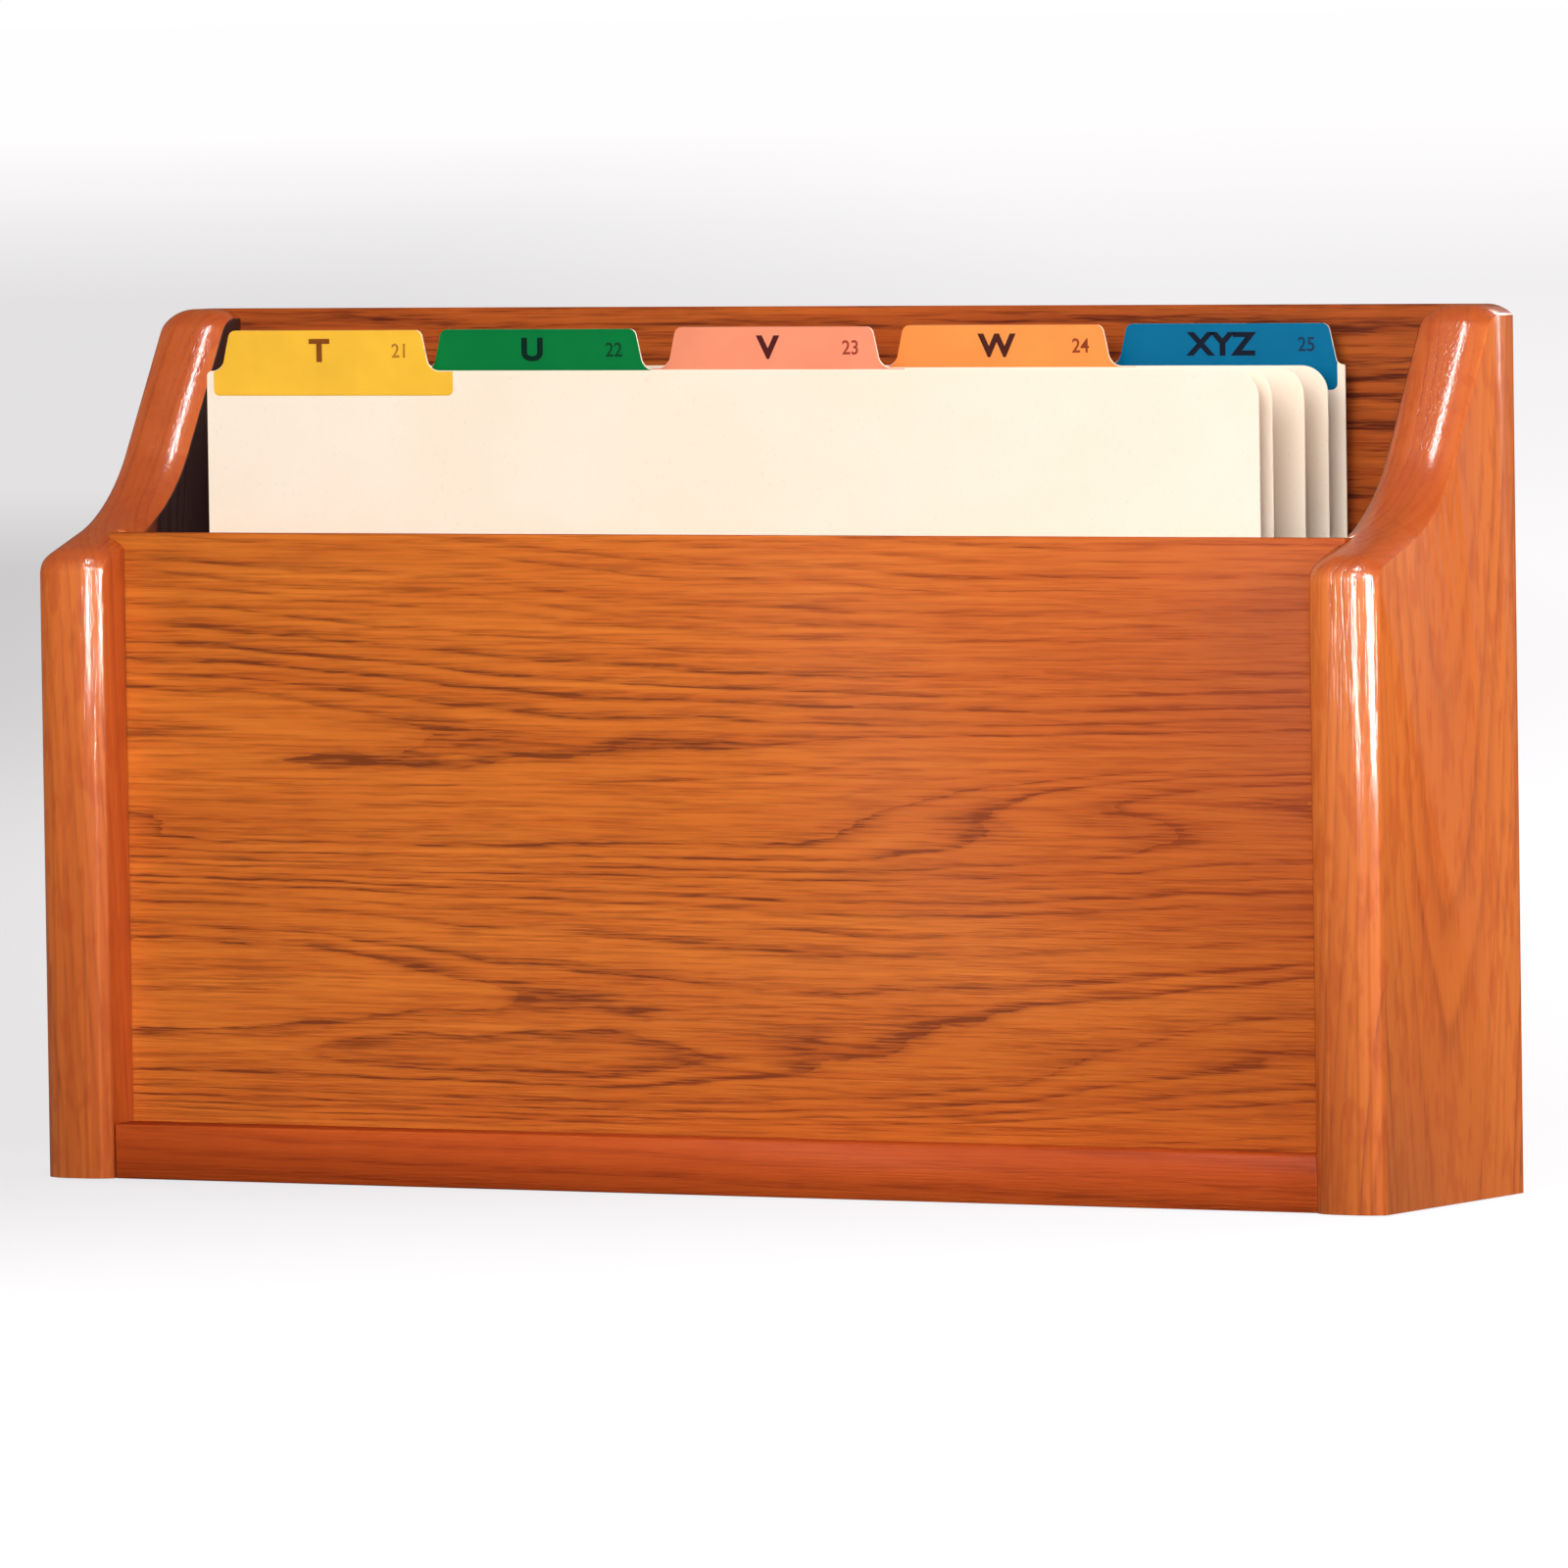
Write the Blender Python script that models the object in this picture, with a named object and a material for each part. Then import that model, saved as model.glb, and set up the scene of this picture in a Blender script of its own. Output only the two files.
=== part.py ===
"""Wall-mounted oak file pocket with five indexed tab guides standing in it.

Metres. X runs along the pocket's width, Y towards the wall and Z up. The origin is the
centre of the whole object's footprint, on its underside. Each guide lifts straight out.
"""

import math

import bmesh
import bpy
from mathutils import Matrix, Vector

MM = 0.001

# The case's outer size.
WIDTH = 476.25 * MM
DEPTH = 95.25 * MM
HEIGHT = 273.2 * MM

# Solid boards and plywood panels.
SIDE_THICKNESS = 23.8 * MM
BASE_THICKNESS = 17.5 * MM
PANEL_THICKNESS = 6.35 * MM
FIT_GAP = 0.3 * MM

# The sides' outline, as depth behind the front edge and height: a straight front, a shallow
# shoulder, a hollow sweep and a flat top at the wall.
SHOULDER_HEIGHT = 197.4 * MM
SHOULDER_RADIUS = 9.0 * MM
HOLLOW_CORNER = (43.1 * MM, 212.2 * MM)
HOLLOW_RADIUS = 55.0 * MM
BROW_DEPTH = 78.7 * MM
BROW_RADIUS = 12.0 * MM

# The router's easing along the sides' front and top edges, which ends in a crisp line.
EASING_RADIUS = 13.0 * MM
EASING_WIDTH = 8.7 * MM
EASING_STEPS = 6

# Where the panels sit.
FRONT_PANEL_SETBACK = 16.0 * MM
FRONT_PANEL_TOP = 204.0 * MM
GROOVE_DEPTH = 6.0 * MM
BASE_GROOVE_DEPTH = 5.0 * MM
BASE_SETBACK = 4.0 * MM
REBATE_WIDTH = 10.0 * MM

# Hidden joinery.
DOWEL_RADIUS = 4.0 * MM
DOWEL_LENGTH = 36.0 * MM
DOWEL_IN_SIDE = 14.0 * MM
DOWEL_CHAMFER = 1.0 * MM
DOWEL_DEPTHS = (27.0 * MM, 72.0 * MM)
SCREW_LENGTH = 16.0 * MM
SCREW_SHANK_RADIUS = 1.5 * MM
SCREW_HEAD_RADIUS = 3.2 * MM
SCREW_HEAD_HEIGHT = 2.0 * MM
SCREW_TIP_LENGTH = 4.0 * MM
RECESS_ARM = 1.6 * MM
RECESS_WIDTH = 0.8 * MM
RECESS_DEPTH = 1.2 * MM
SIDE_SCREW_HEIGHTS = (32.0 * MM, 140.0 * MM, 248.0 * MM)
BASE_SCREW_PLACES = (-140.0 * MM, 0.0, 140.0 * MM)

# The holes in the back through which the case is screwed to a wall.
WALL_HOLE_SPACING = 304.8 * MM
WALL_HOLE_HEIGHT = 236.0 * MM
WALL_HOLE_RADIUS = 2.25 * MM

# The guides: legal-size index cards with a laminated tab cut to a fifth of the width.
CARD_WIDTH = 374.65 * MM
CARD_HEIGHT = 237.2 * MM
CARD_THICKNESS = 0.46 * MM
CARD_TOP_RADIUS = 9.0 * MM
CARD_FOOT_RADIUS = 3.0 * MM
TAB_HEIGHT = 12.7 * MM
TAB_TOP_WIDTH = 70.0 * MM
TAB_FOOT_WIDTH = 76.0 * MM
TAB_TOP_RADIUS = 2.6 * MM
TAB_FOOT_RADIUS = 4.6 * MM
TAB_PITCH = 72.6 * MM
TAB_SHIFT = 1.5 * MM
CORNER_FLAT = 0.6 * MM
FILM_THICKNESS = 0.12 * MM
FILM_OFFSET = 0.05 * MM
FILM_DROP = 7.8 * MM
FILM_OVERLAP = 5.0 * MM
FILM_END_INSET = 2.6 * MM
FILM_EDGE_INSET = 0.25 * MM
FILM_CORNER_RADIUS = 2.0 * MM

# Each guide's name, the depth of its card's middle behind the front edges, and its tab colour.
GUIDES = (
    ("T", 23.8 * MM, (0.93, 0.55, 0.045)),
    ("U", 32.4 * MM, (0.0, 0.22, 0.055)),
    ("V", 53.7 * MM, (0.92, 0.30, 0.14)),
    ("W", 69.6 * MM, (0.95, 0.37, 0.08)),
    ("XYZ", 81.3 * MM, (0.0, 0.22, 0.50)),
)

Y_FRONT = -DEPTH / 2
Y_WALL = DEPTH / 2
INNER_HALF = WIDTH / 2 - SIDE_THICKNESS
FRONT_PANEL_FACE = Y_FRONT + FRONT_PANEL_SETBACK
FRONT_GROOVE = (FRONT_PANEL_FACE - FIT_GAP, FRONT_PANEL_FACE + PANEL_THICKNESS + FIT_GAP)
# A tab's end slope, and how far a foot fillet runs along the card's top for each unit of radius.
TAB_SLOPE = math.atan2(TAB_HEIGHT, (TAB_FOOT_WIDTH - TAB_TOP_WIDTH) / 2)
FILLET_SHARE = math.tan(TAB_SLOPE / 2)
GROOVE_FOOT = BASE_THICKNESS - BASE_GROOVE_DEPTH - FIT_GAP
BACK_PANEL_FACE = Y_WALL - PANEL_THICKNESS
OAK_COLOUR = (0.55, 0.17, 0.045)
BASE_COLOUR = (0.42, 0.10, 0.03)
DOWEL_COLOUR = (0.70, 0.48, 0.28)
STEEL_COLOUR = (0.62, 0.55, 0.36)
MANILA_COLOUR = (0.94, 0.84, 0.70)


def clear_scene():
    for obj in list(bpy.data.objects):
        bpy.data.objects.remove(obj, do_unlink=True)


def make_material(name, colour, roughness, metallic=0.0):
    material = bpy.data.materials.new(name)
    material.use_nodes = True
    shader = material.node_tree.nodes["Principled BSDF"]
    shader.inputs["Base Color"].default_value = (*colour, 1.0)
    shader.inputs["Roughness"].default_value = roughness
    shader.inputs["Metallic"].default_value = metallic
    material.diffuse_color = (*colour, 1.0)
    return material


def add_object(name, mesh, material, location=(0, 0, 0), parent=None):
    obj = bpy.data.objects.new(name, mesh)
    bpy.context.scene.collection.objects.link(obj)
    obj.location = location
    if material is not None and not mesh.materials:
        mesh.materials.append(material)
    obj.parent = parent
    return obj


def mesh_from(bm, name, smooth_angle=None):
    bmesh.ops.recalc_face_normals(bm, faces=bm.faces)
    mesh = bpy.data.meshes.new(name)
    bm.to_mesh(mesh)
    bm.free()
    if smooth_angle is not None:
        mesh.shade_smooth()
        mesh.set_sharp_from_angle(angle=math.radians(smooth_angle))
    return mesh


def box_mesh(name, low, high):
    bm = bmesh.new()
    bmesh.ops.create_cube(bm, size=1.0)
    size = Vector(high) - Vector(low)
    middle = (Vector(high) + Vector(low)) / 2
    bmesh.ops.transform(bm, matrix=Matrix.Diagonal((*size, 1.0)), verts=bm.verts)
    bmesh.ops.translate(bm, vec=middle, verts=bm.verts)
    return mesh_from(bm, name)


def rounded_outline(corners, steps_per_turn=48):
    """The outline through (point, radius) corners, each corner of nonzero radius an arc."""
    points = []
    for i, (corner, radius) in enumerate(corners):
        here = Vector(corner)
        if radius == 0:
            points.append(here)
            continue
        before = (Vector(corners[i - 1][0]) - here).normalized()
        after = (Vector(corners[(i + 1) % len(corners)][0]) - here).normalized()
        half_angle = before.angle(after) / 2
        reach = radius / math.tan(half_angle)
        centre = here + (before + after).normalized() * radius / math.sin(half_angle)
        start = here + before * reach - centre
        end = here + after * reach - centre
        turn = start.angle_signed(end)
        steps = max(3, math.ceil(abs(turn) / math.tau * steps_per_turn))
        for step in range(steps + 1):
            points.append(centre + Matrix.Rotation(-turn * step / steps, 2) @ start)
    return points


def side_path():
    """The side's front and top edge, from the front foot to the top of its rear edge."""
    corners = [
        ((0.0, 0.0), 0),
        ((0.0, SHOULDER_HEIGHT), SHOULDER_RADIUS),
        (HOLLOW_CORNER, HOLLOW_RADIUS),
        ((BROW_DEPTH, HEIGHT), BROW_RADIUS),
        ((DEPTH, HEIGHT), 0),
    ]
    return rounded_outline(corners, steps_per_turn=90)


def outward_normals(path):
    """At each point, the unit normal pointing out of the board, from the neighbouring points."""
    normals = []
    for i in range(len(path)):
        before = path[max(i - 1, 0)]
        after = path[min(i + 1, len(path) - 1)]
        tangent = (after - before).normalized()
        normals.append(Vector((-tangent.y, tangent.x)))
    normals[0] = Vector((-1.0, 0.0))
    normals[-1] = Vector((0.0, 1.0))
    return normals


def easing_stations():
    """Across the board's thickness: distance from the outer face, and how far the edge is eased."""
    half_turn = math.asin(EASING_WIDTH / EASING_RADIUS)
    curve = []
    for step in range(EASING_STEPS + 1):
        angle = half_turn * (1 - step / EASING_STEPS)
        across = EASING_WIDTH - EASING_RADIUS * math.sin(angle)
        curve.append((across, EASING_RADIUS * (1 - math.cos(angle))))
    return curve + [(SIDE_THICKNESS - across, ease) for across, ease in reversed(curve)]


def side_blank(name):
    """A side board with its front and top edges eased, lying at X from 0 to its thickness."""
    path = side_path()
    normals = outward_normals(path)
    bm = bmesh.new()
    rings = []
    for across, ease in easing_stations():
        outline = [point - normal * ease for point, normal in zip(path, normals)]
        outline.append(Vector((DEPTH, 0.0)))
        rings.append([bm.verts.new((across, Y_FRONT + p.x, p.y)) for p in outline])
    for low, high in zip(rings, rings[1:]):
        for i in range(len(low)):
            j = (i + 1) % len(low)
            bm.faces.new((low[i], low[j], high[j], high[i]))
    bm.faces.new(rings[0])
    bm.faces.new(rings[-1])
    return mesh_from(bm, name, smooth_angle=25)


def cutter(name, mesh, target, location=(0, 0, 0)):
    """Cuts the mesh away from the target with an exact Boolean."""
    tool = add_object(name, mesh, None, location)
    tool.hide_render = True
    tool.display_type = "WIRE"
    tool.parent = target.parent
    cut = target.modifiers.new(name, "BOOLEAN")
    cut.operation = "DIFFERENCE"
    cut.solver = "EXACT"
    cut.object = tool
    return tool


def turned_mesh(name, profile, sides=24):
    """A closed turned solid about Z from (radius, height) pairs, the first and last on the axis."""
    bm = bmesh.new()
    points = [bm.verts.new((radius, 0.0, height)) for radius, height in profile]
    edges = [bm.edges.new(pair) for pair in zip(points, points[1:])]
    bmesh.ops.spin(
        bm, geom=points + edges, cent=(0, 0, 0), axis=(0, 0, 1), angle=math.tau, steps=sides
    )
    bmesh.ops.remove_doubles(bm, verts=bm.verts, dist=0.01 * MM)
    return mesh_from(bm, name, smooth_angle=35)


def rod_profile(radius, length, chamfer):
    return [
        (0.0, 0.0),
        (radius - chamfer, 0.0),
        (radius, chamfer),
        (radius, length - chamfer),
        (radius - chamfer, length),
        (0.0, length),
    ]


def screw_profile(spare=0.0):
    """A countersunk screw, head face at height 0 and point downwards, grown by spare."""
    shank = SCREW_SHANK_RADIUS + spare
    return [
        (0.0, -SCREW_LENGTH - spare),
        (shank, -SCREW_LENGTH + SCREW_TIP_LENGTH - spare),
        (shank, -SCREW_HEAD_HEIGHT),
        (SCREW_HEAD_RADIUS + spare, -spare / 2),
        (SCREW_HEAD_RADIUS + spare, spare),
        (0.0, spare),
    ]


def dowel_places():
    """Each dowel's name, side sign and depth place."""
    for side_name, sign in (("left", -1), ("right", 1)):
        for place_name, depth in zip(("front", "rear"), DOWEL_DEPTHS):
            yield f"{side_name}_{place_name}", sign, Y_FRONT + depth


def screw_places():
    """Each back screw's name and its head's position on the back panel's rear face."""
    edge = INNER_HALF + REBATE_WIDTH / 2
    for side_name, sign in (("left", -1), ("right", 1)):
        for place_name, height in zip(("low", "middle", "high"), SIDE_SCREW_HEIGHTS):
            yield f"{side_name}_{place_name}", Vector((sign * edge, Y_WALL, height))
    for place_name, across in zip(("left", "middle", "right"), BASE_SCREW_PLACES):
        yield f"base_{place_name}", Vector((across, Y_WALL, BASE_THICKNESS / 2))


def aim_at_wall(obj):
    """Turns a screw or its cutter so that its head faces the wall."""
    obj.rotation_euler = (-math.pi / 2, 0, 0)


def channel_mesh(name, sign, channel_depth, y_range, z_range):
    """A box cut into a side's inner face, channel_depth into the wood."""
    across = sorted((sign * (INNER_HALF - MM), sign * (INNER_HALF + channel_depth)))
    low, high = zip(across, y_range, z_range)
    return box_mesh(name, low, high)


def build_side(name, sign, material):
    """A side board, grooved inside for the front panel and rebated behind for the back panel."""
    blank = side_blank(name)
    # The easing is the same on both faces, so both boards are the same blank.
    outer_left = -WIDTH / 2 if sign < 0 else INNER_HALF
    blank.transform(Matrix.Translation((outer_left, 0, 0)))
    side = add_object(name, blank, material)
    groove = channel_mesh("groove", sign, GROOVE_DEPTH, FRONT_GROOVE, (GROOVE_FOOT, HEIGHT))
    cutter(f"{name}_groove_cut", groove, side)
    rebate_span = (BACK_PANEL_FACE - FIT_GAP, Y_WALL + MM)
    rebate = channel_mesh("rebate", sign, REBATE_WIDTH, rebate_span, (-MM, HEIGHT + MM))
    cutter(f"{name}_rebate_cut", rebate, side)
    return side


def build_base(material):
    half = INNER_HALF - FIT_GAP
    low = (-half, Y_FRONT + BASE_SETBACK, 0.0)
    high = (half, BACK_PANEL_FACE - FIT_GAP, BASE_THICKNESS)
    base = add_object("bottom_board", box_mesh("bottom_board", low, high), material)
    groove_low = (-WIDTH, FRONT_GROOVE[0], GROOVE_FOOT)
    groove_high = (WIDTH, FRONT_GROOVE[1], BASE_THICKNESS + MM)
    cutter("base_groove_cut", box_mesh("base_groove", groove_low, groove_high), base)
    return base


def build_front_panel(material):
    half = INNER_HALF + GROOVE_DEPTH - FIT_GAP
    low = (-half, FRONT_PANEL_FACE, GROOVE_FOOT + FIT_GAP)
    high = (half, FRONT_PANEL_FACE + PANEL_THICKNESS, FRONT_PANEL_TOP)
    return add_object("front_panel", box_mesh("front_panel", low, high), material)


def build_back_panel(material):
    half = INNER_HALF + REBATE_WIDTH - FIT_GAP
    low = (-half, BACK_PANEL_FACE, 0.0)
    high = (half, Y_WALL, HEIGHT)
    back = add_object("back_panel", box_mesh("back_panel", low, high), material)
    hole = rod_profile(WALL_HOLE_RADIUS, 3 * PANEL_THICKNESS, 0.2 * MM)
    for name, sign in (("left", -1), ("right", 1)):
        place = (sign * WALL_HOLE_SPACING / 2, Y_WALL - 2 * PANEL_THICKNESS, WALL_HOLE_HEIGHT)
        tool = cutter(f"wall_hole_{name}", turned_mesh("wall_hole", hole), back, place)
        aim_at_wall(tool)
    return back


def build_dowels(material, sides, base):
    mesh = turned_mesh("dowel", rod_profile(DOWEL_RADIUS, DOWEL_LENGTH, DOWEL_CHAMFER))
    bore_length = DOWEL_LENGTH + 2 * FIT_GAP
    bore = turned_mesh("dowel_bore", rod_profile(DOWEL_RADIUS + FIT_GAP, bore_length, DOWEL_CHAMFER))
    for name, sign, depth in dowel_places():
        outer_end = sign * (INNER_HALF + DOWEL_IN_SIDE)
        lean = (0, -sign * math.pi / 2, 0)
        dowel = add_object(f"dowel_{name}", mesh, material, (outer_end, depth, BASE_THICKNESS / 2))
        dowel.rotation_euler = lean
        for target in (sides[sign], base):
            place = (outer_end + sign * FIT_GAP, depth, BASE_THICKNESS / 2)
            tool = cutter(f"{target.name}_bore_{name}", bore, target, place)
            tool.rotation_euler = lean


def cross_recess_cutter():
    """A plus-shaped prism that leaves a cross recess in a screw's head."""
    arm, wide = RECESS_ARM, RECESS_WIDTH / 2
    corner = [(arm, -wide), (arm, wide), (wide, wide)]
    bm = bmesh.new()
    outline = []
    for quarter in range(4):
        turn = Matrix.Rotation(quarter * math.pi / 2, 2)
        outline += [turn @ Vector(point) for point in corner]
    floor = bm.faces.new([bm.verts.new((p.x, p.y, -RECESS_DEPTH)) for p in outline])
    pushed = bmesh.ops.extrude_face_region(bm, geom=[floor])["geom"]
    moved = [item for item in pushed if isinstance(item, bmesh.types.BMVert)]
    bmesh.ops.translate(bm, vec=(0, 0, 2 * RECESS_DEPTH), verts=moved)
    return mesh_from(bm, "cross_recess")


def screw_mesh():
    """A countersunk wood screw with a cross recess, built once and shared by every screw."""
    screw = add_object("screw_pattern", turned_mesh("screw", screw_profile(), 20), None)
    tool = cutter("cross_recess", cross_recess_cutter(), screw)
    bpy.context.view_layer.update()
    graph = bpy.context.evaluated_depsgraph_get()
    finished = bpy.data.meshes.new_from_object(screw.evaluated_get(graph))
    finished.name = "back_screw"
    for helper in (screw, tool):
        bpy.data.objects.remove(helper, do_unlink=True)
    finished.set_sharp_from_angle(angle=math.radians(35))
    return finished


def build_back_screws(material, sides, base, back):
    mesh = screw_mesh()
    hole = turned_mesh("screw_hole", screw_profile(FIT_GAP), 20)
    for name, place in screw_places():
        screw = add_object(f"screw_{name}", mesh, material, place)
        aim_at_wall(screw)
        holder = base if name.startswith("base") else sides[int(math.copysign(1, place.x))]
        for target in (back, holder):
            aim_at_wall(cutter(f"{target.name}_hole_{name}", hole, target, place))


def tab_centre(index):
    return (index - (len(GUIDES) - 1) / 2) * TAB_PITCH + TAB_SHIFT


def foot_rooms(centre):
    """How much of the card's top is left beside a tab's left and right foot."""
    half = (CARD_WIDTH - TAB_FOOT_WIDTH) / 2
    return half + centre, half - centre


def foot_radii(centre):
    """The fillets at a tab's left and right foot, smaller where the card ends close by."""
    return [min(TAB_FOOT_RADIUS, (room - CORNER_FLAT) / FILLET_SHARE) for room in foot_rooms(centre)]


def tab_corners(centre, foot_height=CARD_HEIGHT):
    """The tab's corners from its right foot over the top to its left foot."""
    foot = TAB_FOOT_WIDTH / 2
    top = TAB_TOP_WIDTH / 2
    left_radius, right_radius = foot_radii(centre)
    return [
        ((centre + foot, foot_height), right_radius),
        ((centre + top, CARD_HEIGHT + TAB_HEIGHT), TAB_TOP_RADIUS),
        ((centre - top, CARD_HEIGHT + TAB_HEIGHT), TAB_TOP_RADIUS),
        ((centre - foot, foot_height), left_radius),
    ]


def card_outline(index):
    half = CARD_WIDTH / 2
    centre = tab_centre(index)
    left_radius, right_radius = (
        min(CARD_TOP_RADIUS, 0.9 * (room - radius * FILLET_SHARE))
        for room, radius in zip(foot_rooms(centre), foot_radii(centre))
    )
    corners = [((-half, 0.0), CARD_FOOT_RADIUS), ((half, 0.0), CARD_FOOT_RADIUS)]
    corners.append(((half, CARD_HEIGHT), right_radius))
    corners += tab_corners(centre)
    corners.append(((-half, CARD_HEIGHT), left_radius))
    return rounded_outline(corners)


def clipped(outline, left, right):
    """The outline with what lies beyond left or right moved in to that line."""
    points = []
    for point in outline:
        kept = Vector((min(max(point.x, left), right), point.y))
        if not points or (kept - points[-1]).length > 0.01 * MM:
            points.append(kept)
    return points


def film_outline(index):
    """The laminated film: the whole tab, and a strip below it on the card's body."""
    centre = tab_centre(index)
    reach = TAB_FOOT_WIDTH / 2 + TAB_FOOT_RADIUS * FILLET_SHARE + FILM_OVERLAP
    limit = CARD_WIDTH / 2 - FILM_END_INSET
    left = max(centre - reach, -limit)
    right = min(centre + reach, limit)
    low = CARD_HEIGHT - FILM_DROP
    shoulder = CARD_HEIGHT - FILM_EDGE_INSET
    corners = [((left, low), FILM_CORNER_RADIUS), ((right, low), FILM_CORNER_RADIUS)]
    corners.append(((right, shoulder), 0))
    corners += tab_corners(centre, shoulder)
    corners.append(((left, shoulder), 0))
    return clipped(rounded_outline(corners), left, right)


def sheet_mesh(name, outline, thickness):
    """A flat sheet in the XZ plane, its thickness centred on Y = 0."""
    bm = bmesh.new()
    front = [bm.verts.new((p.x, -thickness / 2, p.y)) for p in outline]
    face = bm.faces.new(front)
    pushed = bmesh.ops.extrude_face_region(bm, geom=[face])["geom"]
    moved = [item for item in pushed if isinstance(item, bmesh.types.BMVert)]
    bmesh.ops.translate(bm, vec=(0, thickness, 0), verts=moved)
    return mesh_from(bm, name)


def build_guide(index, name, depth, colour, manila):
    """One index guide: a manila card with a film on each face of its tab."""
    stand = bpy.data.objects.new(f"guide_{name}_axis", None)
    bpy.context.scene.collection.objects.link(stand)
    stand.location = (0.0, Y_FRONT + depth, BASE_THICKNESS + FIT_GAP)
    card = sheet_mesh(f"card_{name}", card_outline(index), CARD_THICKNESS)
    add_object(f"card_{name}", card, manila, parent=stand)
    laminate = make_material(f"laminate_{name}", colour, 0.25)
    film = sheet_mesh(f"film_{name}", film_outline(index), FILM_THICKNESS)
    offset = CARD_THICKNESS / 2 + FILM_OFFSET + FILM_THICKNESS / 2
    for face_name, sign in (("front", -1), ("rear", 1)):
        add_object(f"film_{face_name}_{name}", film, laminate, (0, sign * offset, 0), stand)


def main():
    clear_scene()
    oak = make_material("oak", OAK_COLOUR, 0.32)
    base_oak = make_material("base_oak", BASE_COLOUR, 0.35)
    beech = make_material("beech", DOWEL_COLOUR, 0.6)
    steel = make_material("zinc_plated_steel", STEEL_COLOUR, 0.35, 1.0)
    manila = make_material("manila", MANILA_COLOUR, 0.7)
    sides = {sign: build_side(name, sign, oak) for name, sign in (("left_side", -1), ("right_side", 1))}
    base = build_base(base_oak)
    build_front_panel(oak)
    back = build_back_panel(oak)
    build_dowels(beech, sides, base)
    build_back_screws(steel, sides, base, back)
    for index, (name, depth, colour) in enumerate(GUIDES):
        build_guide(index, name, depth, colour, manila)


main()
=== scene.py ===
"""Finished look of an oak wall file pocket holding five manila index guides.

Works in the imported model's own frame, in metres: X along the pocket, Y towards the wall, Z up.
"""

import math

import bmesh
import bpy
from mathutils import Matrix, Vector


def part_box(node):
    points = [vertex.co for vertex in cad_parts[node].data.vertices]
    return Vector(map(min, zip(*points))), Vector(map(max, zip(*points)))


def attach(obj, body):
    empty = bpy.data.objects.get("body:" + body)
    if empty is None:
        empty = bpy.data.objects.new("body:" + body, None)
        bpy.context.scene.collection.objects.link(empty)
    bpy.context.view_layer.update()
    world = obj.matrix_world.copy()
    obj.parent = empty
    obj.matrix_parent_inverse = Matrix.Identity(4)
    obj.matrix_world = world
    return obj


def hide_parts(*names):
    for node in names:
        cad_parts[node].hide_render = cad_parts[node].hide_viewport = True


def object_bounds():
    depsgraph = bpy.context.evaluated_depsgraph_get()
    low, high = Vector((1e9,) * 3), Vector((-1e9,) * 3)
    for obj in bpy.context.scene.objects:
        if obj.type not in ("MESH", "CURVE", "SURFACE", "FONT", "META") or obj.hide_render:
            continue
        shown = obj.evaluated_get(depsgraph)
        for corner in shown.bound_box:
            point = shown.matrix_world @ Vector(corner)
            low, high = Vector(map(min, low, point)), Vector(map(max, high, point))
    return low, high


MM = 0.001

# The sides' outline: depth behind the front edge, and height.
SHOULDER_HEIGHT = 197.4 * MM
SHOULDER_RADIUS = 9.0 * MM
HOLLOW_CORNER = (43.1 * MM, 212.2 * MM)
HOLLOW_RADIUS = 55.0 * MM
BROW_DEPTH = 78.7 * MM
BROW_RADIUS = 12.0 * MM
EASING_RADIUS = 13.0 * MM
EASING_WIDTH = 8.7 * MM
EASING_STEPS = 10
ARC_STEPS_PER_TURN = 180

# Joints between the boards. A cutter reaches past the face it opens, so that no faces coincide.
FIT_GAP = 0.3 * MM
CUTTER_REACH = 1.0 * MM

# Rounded edges: their widths, the angle in degrees from which an edge is rounded, and the angles
# below which shading runs smoothly on.
CREASE_WIDTH = 0.35 * MM
BOARD_EDGE = 0.5 * MM
PLY_EDGE = 0.25 * MM
EDGE_SEGMENTS = 2
EDGE_ANGLE = 25
EDGE_SMOOTH_ANGLE = 40
SIDE_SMOOTH_ANGLE = 30

# The guides' cards, tabs and films.
TAB_HEIGHT = 12.7 * MM
TAB_TOP_WIDTH = 70.0 * MM
TAB_FOOT_WIDTH = 76.0 * MM
TAB_TOP_RADIUS = 2.6 * MM
TAB_FOOT_RADIUS = 4.6 * MM
TAB_PITCH = 72.6 * MM
TAB_SHIFT = 1.5 * MM
CORNER_FLAT = 0.6 * MM
CARD_TOP_RADIUS = 9.0 * MM
CARD_TOP_SHARE = 0.9
CARD_FOOT_RADIUS = 3.0 * MM
FILM_EDGE_INSET = 0.25 * MM
FILM_CORNER_RADIUS = 2.0 * MM

# A tab's end slope, and how far a foot fillet runs along the card's top for each unit of radius.
TAB_SLOPE = math.atan2(TAB_HEIGHT, (TAB_FOOT_WIDTH - TAB_TOP_WIDTH) / 2)
FILLET_SHARE = math.tan(TAB_SLOPE / 2)

# Each guide's letters, number, film colour, and how its two inks look through the film.
GUIDES = (
    ("T", "21", (0.96, 0.545, 0.046), (0.22, 0.060, 0.010), (0.46, 0.190, 0.020)),
    ("U", "22", (0.0015, 0.19, 0.044), (0.002, 0.018, 0.012), (0.004, 0.050, 0.020)),
    ("V", "23", (0.90, 0.30, 0.175), (0.070, 0.012, 0.012), (0.30, 0.050, 0.030)),
    ("W", "24", (0.93, 0.315, 0.075), (0.060, 0.015, 0.012), (0.26, 0.050, 0.018)),
    ("XYZ", "25", (0.0015, 0.145, 0.30), (0.006, 0.010, 0.022), (0.010, 0.040, 0.085)),
)
LETTER_HEIGHT = 7.0 * MM
LETTER_SHIFT = -2.0 * MM
LETTER_BOLD = 0.38 * MM
LETTER_STRETCH = 1.22
NUMBER_HEIGHT = 4.5 * MM
NUMBER_SHIFT = 27.5 * MM
NUMBER_BOLD = 0.10 * MM
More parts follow.
